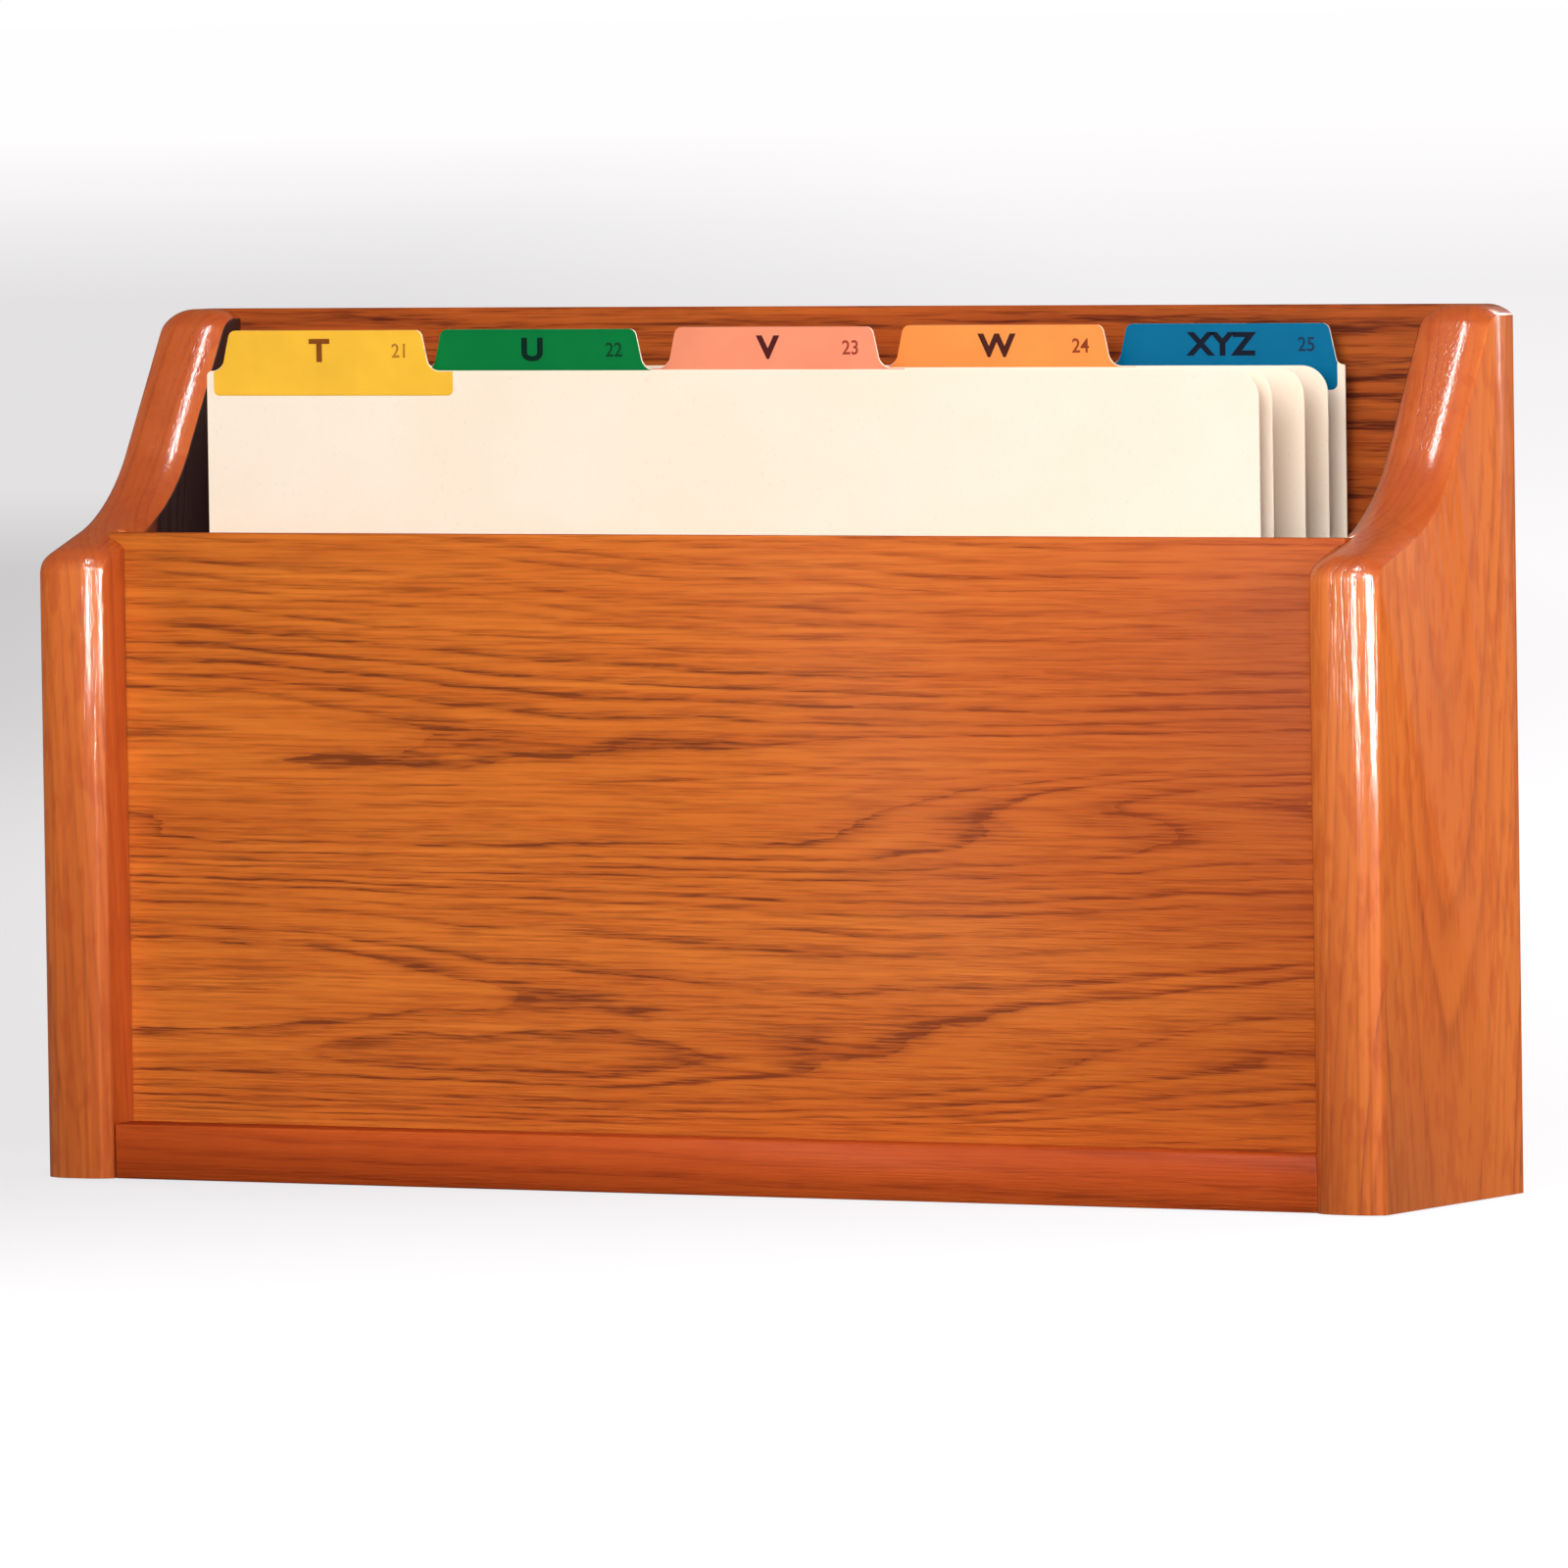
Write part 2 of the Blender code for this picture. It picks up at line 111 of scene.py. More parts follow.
PRINT_DROP = 6.7 * MM
INK_LIFT = 0.03 * MM

# How high a capital stands in lettering of size 1.
CAPITAL_SHARE = 0.73

# The camera's place round the object, in degrees and metres, and its lens.
CAMERA_AZIMUTH = 29.48
CAMERA_ELEVATION = 2.78
CAMERA_ROLL = -0.835
CAMERA_DISTANCE = 4.819
CAMERA_TARGET = (-0.0273, 0.0476, 0.1312)
CAMERA_LENS = 350.9
CAMERA_SHIFT = (0.0121, -0.0174)
CAMERA_REACH = 5000.0

# The studio: each soft box's azimuth round the object (0 in front, 90 on its right), distance,
# height, width, tall side and power. Fills light the surfaces and strips shine in the lacquer.
# The rear fill does both, for the screws behind.
FILL_BOXES = {
    "key_fill": (18, 1.9, 0.95, 1.30, 1.40, 45.0),
    "side_fill": (84, 2.2, 0.80, 1.00, 1.20, 26.0),
    "rear_fill": (165, 2.6, 1.40, 1.60, 1.20, 60.0),
    "left_fill": (250, 2.6, 1.10, 1.20, 1.20, 45.0),
}
STRIP_BOXES = {
    "left_strip": (-4, 1.26, 0.45, 0.18, 1.10, 29.0),
    "right_strip": (37, 1.42, 0.45, 0.28, 1.10, 50.0),
    "top_strip": (-8, 1.4, 2.15, 0.20, 0.70, 30.0),
}
LIGHT_TARGET = (0.0, 0.0, 0.14)
WORLD_LIGHT = (0.17, 0.125, 0.095)

# The floor's radius and drop below the object in metres, and the direction of its painted soft shadow
# in degrees from the wall's.
FLOOR_RADIUS = 1500.0
FLOOR_DROP = 0.5 * MM
FLOOR_TURN = 29.5

# The Mix node's sockets when it mixes colours.
MIX_FACTOR, MIX_FIRST, MIX_SECOND = 0, 6, 7
MIX_RESULT = 2


class Nodes:
    """Short calls for building a shader's node tree."""

    def __init__(self, name):
        self.material = bpy.data.materials.new(name)
        self.material.use_nodes = True
        self.tree = self.material.node_tree
        self.shader = self.tree.nodes["Principled BSDF"]

    def add(self, kind, **values):
        node = self.tree.nodes.new(kind)
        for key, value in values.items():
            setattr(node, key, value)
        return node

    def put(self, value, socket):
        if isinstance(value, bpy.types.NodeSocket):
            self.tree.links.new(value, socket)
        else:
            socket.default_value = value

    def math(self, operation, *values):
        node = self.add("ShaderNodeMath", operation=operation)
        for value, socket in zip(values, node.inputs):
            self.put(value, socket)
        return node.outputs[0]

    def plus(self, *values):
        total = values[0]
        for value in values[1:]:
            total = self.math("ADD", total, value)
        return total

    def times(self, *values):
        total = values[0]
        for value in values[1:]:
            total = self.math("MULTIPLY", total, value)
        return total

    def axes(self):
        """The place in the object's own frame, as a socket for each axis."""
        place = self.add("ShaderNodeTexCoord").outputs["Object"]
        node = self.add("ShaderNodeSeparateXYZ")
        self.put(place, node.inputs[0])
        return dict(zip("XYZ", node.outputs))

    def vector(self, x, y, z):
        node = self.add("ShaderNodeCombineXYZ")
        for value, socket in zip((x, y, z), node.inputs):
            self.put(value, socket)
        return node.outputs[0]

    def noise(self, vector, detail=2.0, roughness=0.5):
        node = self.add("ShaderNodeTexNoise")
        self.put(vector, node.inputs["Vector"])
        node.inputs["Scale"].default_value = 1.0
        node.inputs["Detail"].default_value = detail
        node.inputs["Roughness"].default_value = roughness
        return node.outputs["Fac"]

    def grit(self, axes, scale, detail=2.0, roughness=0.5):
        """Noise of one scale along all three axes."""
        place = self.vector(*(self.times(axes[axis], scale) for axis in "XYZ"))
        return self.noise(place, detail, roughness)

    def curve(self, value, *stops):
        """A piecewise linear curve through (input, output) stops, both from 0 to 1."""
        node = self.add("ShaderNodeValToRGB")
        self.put(value, node.inputs[0])
        ramp = node.color_ramp
        while len(ramp.elements) < len(stops):
            ramp.elements.new(0.5)
        for element, (place, _) in zip(ramp.elements, stops):
            element.position = place
        for element, (_, level) in zip(ramp.elements, stops):
            element.color = (level, level, level, 1.0)
        return node.outputs[0]

    def mix(self, factor, first, second, blend="MIX"):
        node = self.add("ShaderNodeMix", data_type="RGBA", blend_type=blend)
        self.put(factor, node.inputs[MIX_FACTOR])
        self.put(opaque(first), node.inputs[MIX_FIRST])
        self.put(opaque(second), node.inputs[MIX_SECOND])
        return node.outputs[MIX_RESULT]

    def bump(self, height, distance, strength, layer="Normal"):
        node = self.add("ShaderNodeBump")
        node.inputs["Strength"].default_value = strength
        node.inputs["Distance"].default_value = distance
        self.put(height, node.inputs["Height"])
        self.put(node.outputs[0], self.shader.inputs[layer])

    def set(self, **values):
        """Sets the shader's sockets: base_color, coat_weight and so on."""
        for key, value in values.items():
            name = key.replace("_", " ").title().replace("Ior", "IOR")
            self.put(opaque(value) if key.endswith("color") else value, self.shader.inputs[name])


def opaque(colour):
    return (*colour, 1.0) if isinstance(colour, tuple) and len(colour) == 3 else colour


# ---- Wood ----

# Light ground, middle ground, reddish streaks and dark pores.
PANEL_TONES = (
    (0.71, 0.203, 0.027), (0.60, 0.152, 0.018), (0.48, 0.091, 0.012), (0.16, 0.034, 0.009),
)
SIDE_TONES = (
    (0.82, 0.214, 0.034), (0.73, 0.170, 0.026), (0.60, 0.102, 0.015), (0.26, 0.045, 0.011),
)
BASE_TONES = (
    (0.60, 0.112, 0.018), (0.52, 0.084, 0.013), (0.42, 0.056, 0.010), (0.19, 0.026, 0.007),
)
BACK_TONES = (
    (0.50, 0.118, 0.020), (0.40, 0.080, 0.013), (0.31, 0.050, 0.010), (0.08, 0.014, 0.006),
)
DEEP_RED = (0.38, 0.050, 0.008)
# Painted shade for a side board's inner face deep in the pocket.
POCKET_PAINTED_SHADE = (0.012, 0.008, 0.009)
PLY_CORE = (0.20, 0.065, 0.022)

# Lacquer: coat weight and roughness, the wood's own roughness and specular level, and the depth
# of the open pores.
SIDE_LACQUER = (0.85, 0.12, 0.45, 0.12, 0.045 * MM)
PANEL_LACQUER = (0.02, 0.30, 0.60, 0.02, 0.110 * MM)

# How deep the lacquer follows the pores, and how strongly both reliefs show.
LACQUER_RELIEF = 0.040 * MM
RELIEF_STRENGTH = 0.8

# How far a fibre's pores stray along the grain, which combs the tips of the arches.
COMB = 3.5 * MM

# How unevenly the rings follow each other, and how dark a pore may make the ground.
RING_UNEVENNESS = 1.8
MOST_MARK = 0.92


def solid_rings(n, grain, across, depth, pith, taper, wobble, ring_width, seed):
    """Growth rings round a slightly tapering trunk: a cone whose axis lies along the grain."""
    bend = n.vector(n.times(grain, 6.0), n.times(across, 16.0), n.plus(n.times(depth, 16.0), seed))
    sway = n.times(n.plus(n.noise(bend, 2.0, 0.5), -0.5), wobble)
    side = n.plus(across, -pith[0])
    back = n.plus(depth, -pith[1])
    radius = n.math("SQRT", n.plus(n.times(side, side), n.times(back, back)))
    total = n.plus(radius, n.times(grain, taper), sway)
    return n.times(total, 1.0 / ring_width)


def veneer_rings(n, grain, across, knolls, slope, wobble, ring_width, seed):
    """A flat-sliced veneer's rings: contour lines of a slope with long low knolls on it."""
    bend = n.vector(n.times(grain, 8.0), n.times(across, 26.0), seed)
    ripple = n.vector(n.times(grain, 42.0), n.times(across, 120.0), seed + 3.0)
    total = n.plus(
        n.times(across, slope),
        n.times(n.plus(n.noise(bend, 2.0, 0.5), -0.5), wobble),
        n.times(n.plus(n.noise(ripple, 2.0, 0.6), -0.5), 0.22 * wobble),
    )
    for grain_place, across_place, length, breadth, height in knolls:
        u = n.times(n.plus(grain, -grain_place), 1.0 / length)
        v = n.times(n.plus(across, -across_place), 1.0 / breadth)
        fall = n.math("EXPONENT", n.times(n.plus(n.times(u, u), n.times(v, v)), -1.0))
        total = n.plus(total, n.times(fall, height))
    return n.times(total, 1.0 / ring_width)


def oak(name, layout, rings, tones, seed, marks, fibre, flecks, lacquer, finish=None):
    """Stained open-pored oak under satin lacquer. layout names the axes along the grain, across
    it in the board's face, and through the board. marks, fibre and flecks are strengths."""
    n = Nodes(name)
    axes = n.axes()
    grain, across, depth = (axes[axis] for axis in layout)

    def fibres(along, sideways, shift, detail, roughness=0.5):
        place = n.vector(n.times(grain, along), n.times(across, sideways),
                         n.plus(n.times(depth, sideways), seed + shift))
        return n.noise(place, detail, roughness)

    # Ring numbers, unevenly spaced, each ring with a strength of its own.
    combed = n.plus(grain, n.times(n.plus(fibres(14.0, 900.0, 31.0, 1.0), -0.5), 2 * COMB))
    even = rings(n, combed, across, depth)
    stir = n.noise(n.vector(n.times(even, 0.42), seed, 0.0), 1.0)
    field = n.plus(even, n.times(n.plus(stir, -0.5), RING_UNEVENNESS))
    ring = n.math("FRACT", field)
    vigour = n.add("ShaderNodeTexWhiteNoise", noise_dimensions="1D")
    n.put(n.plus(n.math("FLOOR", field), seed), vigour.inputs["W"])
    vigour = n.curve(vigour.outputs["Value"], (0.0, 0.12), (0.5, 0.50), (1.0, 1.0))
    line = n.curve(ring, (0.0, 1.0), (0.12, 0.8), (0.26, 0.25), (0.45, 0.06), (0.75, 0.0),
                   (0.90, 0.25), (1.0, 1.0))
    halo = n.curve(ring, (0.0, 1.0), (0.30, 0.60), (0.60, 0.10), (0.85, 0.15), (1.0, 1.0))

    # Pores are short dashes along the grain, gathered at the rings and broken into patches.
    dash = n.curve(fibres(50.0, 1200.0, 0.0, 2.0, 0.6), (0.44, 0.0), (0.60, 1.0))
    patch = n.curve(fibres(15.0, 90.0, 5.0, 2.0), (0.36, 0.35), (0.60, 1.0))
    streak = n.curve(fibres(20.0, 760.0, 9.0, 2.0, 0.6), (0.36, 0.0), (0.64, 1.0))
    broad = n.curve(fibres(9.0, 170.0, 13.0, 2.0), (0.34, 0.0), (0.66, 1.0))
    cloud = n.curve(fibres(3.5, 26.0, 17.0, 2.0), (0.34, 0.0), (0.66, 1.0))
    fleck = n.curve(fibres(70.0, 240.0, 21.0, 2.0), (0.50, 0.0), (0.62, 1.0))

    light, middle, red, dark = tones
    ground = n.mix(cloud, light, middle)
    ground = n.mix(n.times(broad, 0.6 * fibre), ground, red)
    ground = n.mix(n.times(streak, fibre), ground, red)
    ground = n.mix(n.times(fleck, flecks), ground, red)
    ground = n.mix(n.times(halo, vigour, 0.45), ground, red)
    mark = n.plus(
        n.times(line, vigour, patch, n.plus(0.55, n.times(dash, 0.50))),
        n.times(halo, vigour, dash, 0.35),
        n.times(dash, streak, 0.60 * fibre),
    )
    mark = n.math("MINIMUM", n.times(mark, marks), MOST_MARK)
    colour = n.mix(mark, ground, dark)

    # Stain soaks deeper where the surface cuts across the fibres.
    facing = n.add("ShaderNodeSeparateXYZ")
    n.put(n.add("ShaderNodeTexCoord").outputs["Normal"], facing.inputs[0])
    across_fibres = n.math("ABSOLUTE", facing.outputs["XYZ".index(layout[0])])
    soaked = n.curve(across_fibres, (0.10, 0.0), (0.60, 1.0))
    colour = n.mix(n.times(soaked, 0.70), colour, DEEP_RED)
    if finish is not None:
        colour = finish(n, axes, colour)
    coat, coat_roughness, wood_roughness, specular, pore_depth = lacquer
    roughness = n.plus(wood_roughness, n.times(mark, 0.20), n.times(streak, 0.06))
    n.set(base_color=colour, roughness=roughness, specular_ior_level=specular)
    n.set(coat_weight=coat, coat_roughness=coat_roughness)
    relief = n.plus(n.times(mark, -0.8), n.times(streak, -0.35), n.times(dash, -0.6),
                    n.times(fleck, -0.2))
    n.bump(relief, pore_depth, RELIEF_STRENGTH)
    n.bump(relief, LACQUER_RELIEF, RELIEF_STRENGTH, "Coat Normal")
    return n.material


def ply_edges(node):
    """Darkens the core plies where the panel's own edge shows, between its two face veneers."""
    front, rear = (corner[1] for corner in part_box(node))

    def paint(n, axes, colour):
        share = n.times(n.plus(axes["Y"], -front), 1.0 / (rear - front))
        core = n.curve(share, (0.0, 0.0), (0.09, 0.0), (0.10, 1.0), (0.36, 1.0), (0.37, 0.35),
                       (0.63, 0.35), (0.64, 1.0), (0.90, 1.0), (0.91, 0.0))
        return n.mix(n.times(core, 0.55), colour, PLY_CORE)

    return paint


def inner_red_and_painted_pocket_shade(node):
    """Turns a side board's inner face a deeper red, and paints shade on it, almost black, down in the
    pocket.
    """
    low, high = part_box(node)
    inner = min(abs(low[0]), abs(high[0]))
    pocket_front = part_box("front_panel")[1][1]

    def paint(n, axes, colour):
        inside = n.math("LESS_THAN", n.math("ABSOLUTE", axes["X"]), inner + 0.4 * MM)
        pocket_shade = n.curve(n.times(n.plus(axes["Y"], -pocket_front), 20.0), (0.0, 0.0), (0.3, 1.0))
        colour = n.mix(n.times(inside, 0.55), colour, DEEP_RED)
        # Painted shade: deep in the pocket, behind the front panel, the inner face goes almost black.
        return n.mix(n.times(inside, pocket_shade, 0.98), colour, POCKET_PAINTED_SHADE)

    return paint


def oak_materials():
    low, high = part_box("front_panel")
    width = high[0] - low[0]
    height = high[2] - low[2]

    def knoll(share_across, share_up, length, breadth, rise):
        """A knoll placed by its shares of the front panel's width and height."""
        place = low[0] + share_across * width, low[2] + share_up * height
        return (*place, length, breadth, rise)

    knolls = (
        knoll(0.04, 0.61, 0.255, 0.0120, 0.0135),
        knoll(0.04, 0.485, 0.275, 0.0110, 0.0125),
        knoll(1.02, 0.60, 0.215, 0.0120, -0.0125),
        knoll(0.00, 0.11, 0.400, 0.0215, 0.0240),
        knoll(-0.05, 0.70, 0.240, 0.2000, -0.0140),
        knoll(1.05, 0.42, 0.170, 0.1000, -0.0090),
    )

    def front_rings(n, grain, across, depth):
        return veneer_rings(n, grain, across, knolls, slope=0.62, wobble=0.0060,
                            ring_width=0.0034, seed=3.7)

    def back_rings(n, grain, across, depth):
        return veneer_rings(n, grain, across, ((0.05, 0.12, 0.2, 0.05, 0.03),), slope=0.62,
                            wobble=0.009, ring_width=0.0046, seed=9.1)

    def side_rings(sign, seed):
        def rings(n, grain, across, depth):
            return solid_rings(n, grain, across, depth, pith=(0.002, sign * 0.17), taper=-0.050,
                               wobble=0.008, ring_width=0.0030, seed=seed)
        return rings

    def base_rings(n, grain, across, depth):
        return solid_rings(n, grain, across, depth, pith=(-0.06, 0.02), taper=0.02,
                           wobble=0.009, ring_width=0.0040, seed=5.5)

    return {
        "left_side": oak(
            "oak_left", "ZYX", side_rings(-1, 1.3), SIDE_TONES, seed=1.3,
            marks=0.6, fibre=0.18, flecks=0.60, lacquer=SIDE_LACQUER,
            finish=inner_red_and_painted_pocket_shade("left_side"),
        ),
        "right_side": oak(
            "oak_right", "ZYX", side_rings(1, 6.2), SIDE_TONES, seed=6.2,
            marks=0.6, fibre=0.08, flecks=0.50, lacquer=SIDE_LACQUER,
            finish=inner_red_and_painted_pocket_shade("right_side"),
        ),
        "bottom_board": oak(
            "oak_base", "XZY", base_rings, BASE_TONES, seed=5.5,
            marks=0.5, fibre=0.30, flecks=0.25, lacquer=PANEL_LACQUER,
        ),
        "front_panel": oak(
            "oak_front", "XZY", front_rings, PANEL_TONES, seed=3.7,
            marks=1.10, fibre=0.50, flecks=0.10, lacquer=PANEL_LACQUER,
            finish=ply_edges("front_panel"),
        ),
        "back_panel": oak(
            "oak_back", "XZY", back_rings, BACK_TONES, seed=9.1,
            marks=1.3, fibre=0.50, flecks=0.10, lacquer=PANEL_LACQUER,
            finish=ply_edges("back_panel"),
        ),
    }


# ---- Other materials ----

def manila():
    n = Nodes("manila_card")
    axes = n.axes()
    pulp = n.grit(axes, 900.0, 3.0, 0.6)
    cloud = n.grit(axes, 22.0, 3.0)
    colour = n.mix(n.curve(cloud, (0.3, 0.0), (0.7, 1.0)), (0.95, 0.83, 0.70), (0.93, 0.79, 0.64))
    speck = n.curve(pulp, (0.62, 0.0), (0.78, 0.35))
    colour = n.mix(speck, colour, (0.72, 0.52, 0.32))
    n.set(base_color=colour, roughness=n.plus(0.52, n.times(pulp, 0.2)), specular_ior_level=0.2)
    n.bump(pulp, 0.03 * MM, 0.35)
    return n.material


def laminate(name, colour):
    n = Nodes(f"laminate_{name}")
    axes = n.axes()
    cloud = n.grit(axes, 60.0)
    deeper = tuple(c * 0.90 for c in colour)
    tint = n.mix(n.curve(cloud, (0.3, 0.0), (0.7, 1.0)), colour, deeper)
    orange_peel = n.grit(axes, 700.0)
    n.set(base_color=tint, roughness=n.plus(0.40, n.times(orange_peel, 0.15)), specular_ior_level=0.02)
    n.bump(orange_peel, 0.02 * MM, 0.4)
    return n.material


def ink(name, colour):
    """Print under a tinted film, a little worn."""
    n = Nodes(name)
    axes = n.axes()
    wear = n.grit(axes, 1500.0, 3.0, 0.6)
    worn = tuple(1.6 * c for c in colour)
    n.set(base_color=n.mix(n.curve(wear, (0.45, 0.0), (0.75, 0.6)), colour, worn))
    n.set(roughness=n.plus(0.42, n.times(wear, 0.15)), specular_ior_level=0.02)
    return n.material


def zinc():
    n = Nodes("zinc_plate")
    axes = n.axes()
    cloud = n.grit(axes, 300.0, 3.0, 0.6)
    colour = n.mix(cloud, (0.66, 0.56, 0.32), (0.50, 0.40, 0.24))
    n.set(base_color=colour, metallic=1.0, roughness=n.plus(0.26, n.times(cloud, 0.2)))
    n.bump(cloud, 0.02 * MM, 0.3)
    return n.material


def beech():
    n = Nodes("beech_dowel")
    axes = n.axes()
    scales = {"X": 120.0, "Y": 1400.0, "Z": 1400.0}
    fleck = n.noise(n.vector(*(n.times(axes[axis], scale) for axis, scale in scales.items())), 3.0)
    flecked = n.curve(fleck, (0.4, 0.0), (0.7, 1.0))
    n.set(base_color=n.mix(flecked, (0.72, 0.50, 0.30), (0.52, 0.32, 0.17)))
    n.set(roughness=n.plus(0.55, n.times(fleck, 0.15)))
    n.bump(fleck, 0.05 * MM, 0.4)
    return n.material


def pale_floor():
    """A pale sweep that glows though it is no lamp: white near and far, a little dimmer between, with
    a painted soft shadow behind the object's left.
    """
    n = Nodes("pale_floor")
    axes = n.axes()
    turn = math.radians(FLOOR_TURN)
    beyond = n.plus(n.times(axes["X"], -math.sin(turn)), n.times(axes["Y"], math.cos(turn)))
    sideways = n.plus(n.times(axes["X"], math.cos(turn)), n.times(axes["Y"], math.sin(turn)))
    reach = n.times(n.plus(beyond, 1.0), 1 / 64)
    left = n.curve(n.plus(0.5, n.times(sideways, -1.0)), (0.0, 0.0), (1.0, 1.0))
    level = n.curve(reach, (0.0, 1.0), (0.05, 0.97), (0.10, 0.97), (0.14, 0.92), (0.25, 0.87),
                    (0.32, 0.91), (0.45, 0.96), (0.70, 1.0))
    # Painted shadow: the glow dims to the object's left, from just in front of it to far behind.
    shade = n.curve(reach, (0.006, 0.0), (0.010, 0.12), (0.0138, 0.26), (0.018, 0.40), (0.10, 0.39),
                    (0.13, 0.18), (0.25, 0.13), (0.45, 0.05), (0.70, 0.0))
    level = n.times(level, n.plus(1.0, n.times(shade, left, -1.0)))
    cloud = n.grit(axes, 0.6)
    tint = n.mix(n.times(cloud, 0.5), (0.985, 0.97, 0.99), (1.0, 1.0, 1.0))
    n.set(base_color=(0.10, 0.098, 0.10), roughness=0.9, specular_ior_level=0.0)
    n.set(emission_color=n.mix(1.0, tint, level, "MULTIPLY"), emission_strength=1.0)
    return n.material


# ---- Mesh helpers ----

def mesh_object(name, bm, material, smooth_angle=None):
    bmesh.ops.recalc_face_normals(bm, faces=bm.faces)
    mesh = bpy.data.meshes.new(name)
    bm.to_mesh(mesh)
    bm.free()
    if smooth_angle is not None:
        mesh.shade_smooth()
        mesh.set_sharp_from_angle(angle=math.radians(smooth_angle))
    piece = bpy.data.objects.new(name, mesh)
    bpy.context.scene.collection.objects.link(piece)
    mesh.materials.append(material)
    return piece


def box_bmesh(low, high):
    bm = bmesh.new()
    bmesh.ops.create_cube(bm, size=1.0)
    size = Vector(high) - Vector(low)
    bmesh.ops.transform(bm, matrix=Matrix.Diagonal((*size, 1.0)), verts=bm.verts)
    bmesh.ops.translate(bm, vec=(Vector(high) + Vector(low)) / 2, verts=bm.verts)
    return bm


def apply_modifiers(piece):
    """Bakes the piece's modifiers into its mesh."""
    graph = bpy.context.evaluated_depsgraph_get()
    baked = bpy.data.meshes.new_from_object(piece.evaluated_get(graph), depsgraph=graph)
    piece.modifiers.clear()
    piece.data = baked


def cut_away(piece, low, high):
    tool = mesh_object("cut", box_bmesh(low, high), piece.data.materials[0])
    cut = piece.modifiers.new("cut", "BOOLEAN")
    cut.object = tool
    cut.solver = "EXACT"
    bpy.context.view_layer.update()
    apply_modifiers(piece)
    bpy.data.objects.remove(tool, do_unlink=True)


def soften_edges(piece, width):
    bevel = piece.modifiers.new("soft_edges", "BEVEL")
    bevel.width = width
    bevel.segments = EDGE_SEGMENTS
    bevel.limit_method = "ANGLE"
    bevel.angle_limit = math.radians(EDGE_ANGLE)
    bevel.harden_normals = True
    bpy.context.view_layer.update()
    apply_modifiers(piece)
    piece.data.shade_smooth()
    piece.data.set_sharp_from_angle(angle=math.radians(EDGE_SMOOTH_ANGLE))


def rounded_outline(corners, steps_per_turn=64):
    """The outline through (point, radius) corners, each corner of nonzero radius an arc."""
    points = []
    for i, (corner, radius) in enumerate(corners):
        here = Vector(corner)
        if radius == 0:
            points.append(here)
            continue
        before = (Vector(corners[i - 1][0]) - here).normalized()
        after = (Vector(corners[(i + 1) % len(corners)][0]) - here).normalized()
        half_angle = before.angle(after) / 2
        reach = radius / math.tan(half_angle)
        centre = here + (before + after).normalized() * radius / math.sin(half_angle)
        start = here + before * reach - centre
        turn = start.angle_signed(here + after * reach - centre)
        steps = max(3, math.ceil(abs(turn) / math.tau * steps_per_turn))
        for step in range(steps + 1):
            points.append(centre + Matrix.Rotation(-turn * step / steps, 2) @ start)
    return points


# ---- The case ----

def side_path(depth, height):
    corners = [
        ((0.0, 0.0), 0),
        ((0.0, SHOULDER_HEIGHT), SHOULDER_RADIUS),
        (HOLLOW_CORNER, HOLLOW_RADIUS),
        ((BROW_DEPTH, height), BROW_RADIUS),
        ((depth, height), 0),
    ]
    return rounded_outline(corners, ARC_STEPS_PER_TURN)


def outward_normals(path):
    normals = []
    for i in range(len(path)):
        tangent = path[min(i + 1, len(path) - 1)] - path[max(i - 1, 0)]
        tangent.normalize()
        normals.append(Vector((-tangent.y, tangent.x)))
    normals[0] = Vector((-1.0, 0.0))
    normals[-1] = Vector((0.0, 1.0))
    return normals


def easing_stations(thickness):
    """Across the thickness: distance from the outer face, and how far the edge is eased."""
    sweep = math.asin(EASING_WIDTH / EASING_RADIUS)
    curve = []
    for step in range(EASING_STEPS + 1):
        angle = sweep * (1 - step / EASING_STEPS)
        across = EASING_WIDTH - EASING_RADIUS * math.sin(angle)
        curve.append((across, EASING_RADIUS * (1 - math.cos(angle))))
    return curve + [(thickness - across, ease) for across, ease in reversed(curve)]


def build_side(node, material):
    """A side board with its long front and top edges eased, grooved and rebated inside."""
    low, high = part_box(node)
    sign = 1 if node == "right_side" else -1
    path = side_path(high[1] - low[1], high[2] - low[2])
    normals = outward_normals(path)
    bm = bmesh.new()
    rings = []
    for across, ease in easing_stations(high[0] - low[0]):
        outline = [point - normal * ease for point, normal in zip(path, normals)]
        outline.append(Vector((high[1] - low[1], 0.0)))
        rings.append([bm.verts.new((low[0] + across, low[1] + p.x, low[2] + p.y)) for p in outline])
    for first, second in zip(rings, rings[1:]):
        for i in range(len(first)):
            j = (i + 1) % len(first)
            bm.faces.new((first[i], first[j], second[j], second[i]))
    bm.faces.new(rings[0])
    bm.faces.new(rings[-1])
    piece = mesh_object(f"{node}_board", bm, material, SIDE_SMOOTH_ANGLE)
    inner = high[0] if sign < 0 else low[0]
    for panel, margin in (("front_panel", FIT_GAP), ("back_panel", CUTTER_REACH)):
        panel_low, panel_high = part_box(panel)
        panel_end = panel_high[0] if sign > 0 else panel_low[0]
        across = sorted((inner - sign * CUTTER_REACH, panel_end + sign * FIT_GAP))
        cut_low = (across[0], panel_low[1] - FIT_GAP, panel_low[2] - margin)
        cut_high = (across[1], panel_high[1] + margin, high[2] + CUTTER_REACH)
        cut_away(piece, cut_low, cut_high)
    soften_edges(piece, CREASE_WIDTH)
    return piece


